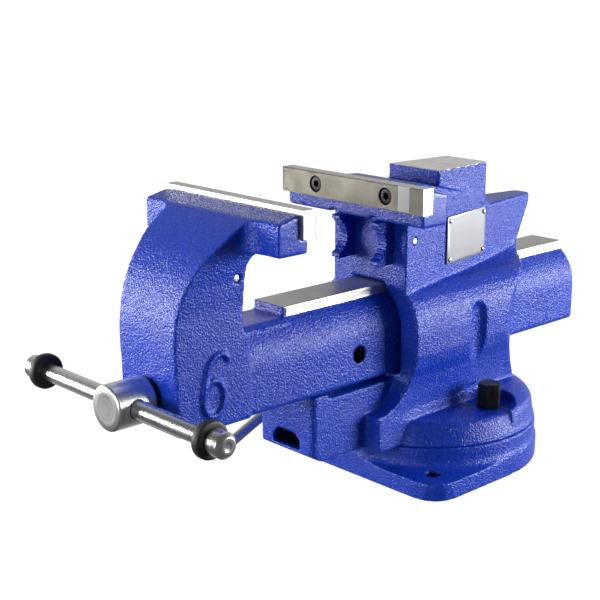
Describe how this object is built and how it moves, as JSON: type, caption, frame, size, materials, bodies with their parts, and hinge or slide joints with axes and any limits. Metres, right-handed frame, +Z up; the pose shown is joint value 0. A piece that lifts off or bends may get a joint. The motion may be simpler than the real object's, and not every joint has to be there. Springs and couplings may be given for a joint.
{
  "type": "bench vise",
  "caption": "Blue cast bench vise on a swivel base, with knurled flat jaws, toothed pipe jaws, an anvil block, a beak, a lead screw with a sliding tommy bar and a swivel lock.",
  "frame": {"origin": "on the swivel axis, at the underside of the base", "axes": "+X along the jaws, towards the side with the hexagon lock nut; +Y from the handle to the beak, the way the moving jaw closes; +Z up"},
  "size_m": [0.2248, 0.4838, 0.241],
  "materials": {
    "blue_paint": "gloss blue paint over a grainy casting, with some machined faces left bare",
    "jaw_steel": "ground steel with a fine diamond knurl on the gripping face",
    "bright_zinc": "bright turned and plated steel",
    "black_steel": "black oxide steel",
    "plain_steel": "plain machined steel",
    "rubber": "black rubber with a dull sheen",
    "nut_iron": "unpainted cast iron, oily",
    "label_metal": "blank silver-white metal label"
  },
  "bodies": {
    "base": {"swivel_base": "blue_paint", "pivot_pin": "plain_steel"},
    "body": {"vise_body": "blue_paint", "rear_jaw_plate": "jaw_steel", "rear_jaw_screw_left": "black_steel", "rear_jaw_screw_right": "black_steel", "rear_pipe_jaw_left": "blue_paint", "rear_pipe_jaw_right": "blue_paint", "rear_pipe_jaw_pin": "bright_zinc", "name_plate": "label_metal", "name_plate_rivet_1": "bright_zinc", "name_plate_rivet_2": "bright_zinc", "name_plate_rivet_3": "bright_zinc", "name_plate_rivet_4": "bright_zinc", "spindle_nut": "nut_iron", "spindle_nut_bolt": "black_steel", "lock_bolt_left": "black_steel", "lock_bolt_right": "black_steel"},
    "jaw": {"moving_jaw": "blue_paint", "front_jaw_plate": "jaw_steel", "front_jaw_screw_left": "black_steel", "front_jaw_screw_right": "black_steel", "front_pipe_jaw_left": "blue_paint", "front_pipe_jaw_right": "blue_paint", "front_pipe_jaw_pin": "bright_zinc"},
    "spindle": {"spindle": "bright_zinc", "thrust_washer": "black_steel", "spindle_collar": "plain_steel", "collar_pin": "plain_steel"},
    "handle": {"handle_bar": "bright_zinc", "handle_cap_left": "bright_zinc", "handle_cap_right": "bright_zinc", "handle_ring_left": "rubber", "handle_ring_right": "rubber"},
    "lock_nut": {"lock_nut": "black_steel"},
    "lock_lever": {"lock_lever_nut": "plain_steel", "lock_lever": "bright_zinc"}
  },
  "joints": [
    {"name": "base_swivel", "type": "hinge", "parent": "base", "child": "body", "pos_m": [0, 0, 0.0315], "axis": [0, 0, 1], "continuous": true},
    {"name": "jaw_slide", "type": "slide", "parent": "body", "child": "jaw", "axis": [0, 1, 0], "range_m": [-0.044, 0.106]},
    {"name": "spindle_turn", "type": "hinge", "parent": "jaw", "child": "spindle", "pos_m": [0, -0.3, 0.1106], "axis": [0, 1, 0], "range_deg": [-2646, 6366]},
    {"name": "handle_slide", "type": "slide", "parent": "spindle", "child": "handle", "axis": [1, 0, 0], "range_m": [-0.0705, 0.077]},
    {"name": "lock_nut_turn", "type": "hinge", "parent": "body", "child": "lock_nut", "pos_m": [0.0635, 0.0048, 0.06], "axis": [0, 0, 1], "range_deg": [0, 180]},
    {"name": "lock_lever_turn", "type": "hinge", "parent": "body", "child": "lock_lever", "pos_m": [-0.0635, 0.0048, 0.06], "axis": [0, 0, 1], "range_deg": [-60, 5]}
  ],
  "couplings": [
    {"joint": "spindle_turn", "follows": "jaw_slide", "rad_per_m": 1047.2}
  ]
}
